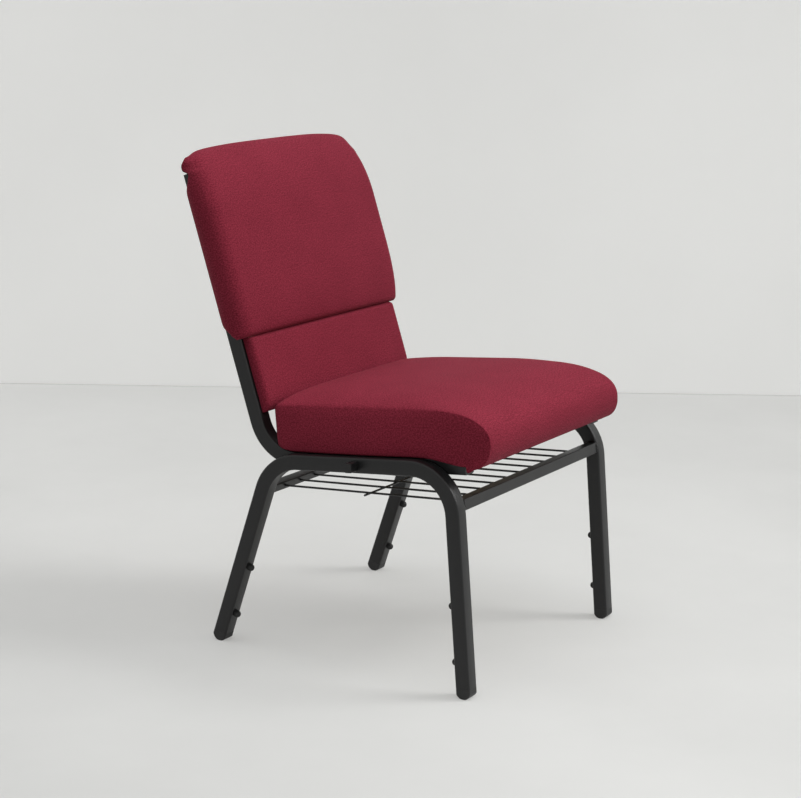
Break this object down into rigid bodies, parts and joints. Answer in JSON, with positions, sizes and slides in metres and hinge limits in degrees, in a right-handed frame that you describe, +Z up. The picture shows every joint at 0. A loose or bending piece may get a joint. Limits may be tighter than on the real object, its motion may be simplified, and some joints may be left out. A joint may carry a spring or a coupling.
{
  "type": "stacking choir chair",
  "caption": "Armless stacking choir chair: bent square steel tube frame, boxed fabric seat, wrapped padded back with a lower lumbar pad, and a wire book rack under the seat.",
  "frame": {"origin": "on the floor, at the middle of the chair's bounding box seen from above", "axes": "+Z up; the chair faces -Y, with its front legs at -Y; X runs across the chair, which is symmetric about X = 0 but for the ganging pieces; the ganging lug is at -X"},
  "size_m": [0.548, 0.5949, 0.8285],
  "materials": {
    "frame_steel": "black powder coat with a fine texture",
    "rack_wire": "black powder-coated wire",
    "cap_plastic": "black moulded nylon",
    "bumper_rubber": "black rubber",
    "plywood": "raw plywood",
    "zinc": "zinc plated",
    "seat_fabric": "maroon woven upholstery over foam",
    "back_fabric": "maroon woven upholstery over foam",
    "rear_fabric": "maroon woven upholstery on a thin panel"
  },
  "bodies": {
    "root": {"left_leg_frame": "frame_steel", "right_leg_frame": "frame_steel", "left_back_rail": "frame_steel", "right_back_rail": "frame_steel", "front_seat_bar": "frame_steel", "rear_seat_bar": "frame_steel", "upper_back_brace": "frame_steel", "lower_back_brace": "frame_steel", "rack_front_bar": "frame_steel", "rack_rear_bar": "frame_steel", "ganging_lug": "frame_steel", "ganging_socket": "frame_steel", "rack_wires": "rack_wire", "rack_cross_wire": "rack_wire", "front_left_foot": "cap_plastic", "front_right_foot": "cap_plastic", "rear_left_foot": "cap_plastic", "rear_right_foot": "cap_plastic", "stile_plugs": "cap_plastic", "seat_rail_plugs": "cap_plastic", "front_leg_bumpers": "bumper_rubber", "rear_leg_bumpers": "bumper_rubber", "seat_board_panel": "plywood", "back_board_panel": "plywood", "seat_screws": "zinc", "seat_tee_nuts": "zinc", "back_screws": "zinc", "back_tee_nuts": "zinc", "seat_cushion": "seat_fabric", "back_upper_pad": "back_fabric", "back_lower_pad": "back_fabric", "back_rear_panel": "rear_fabric"}
  },
  "joints": []
}
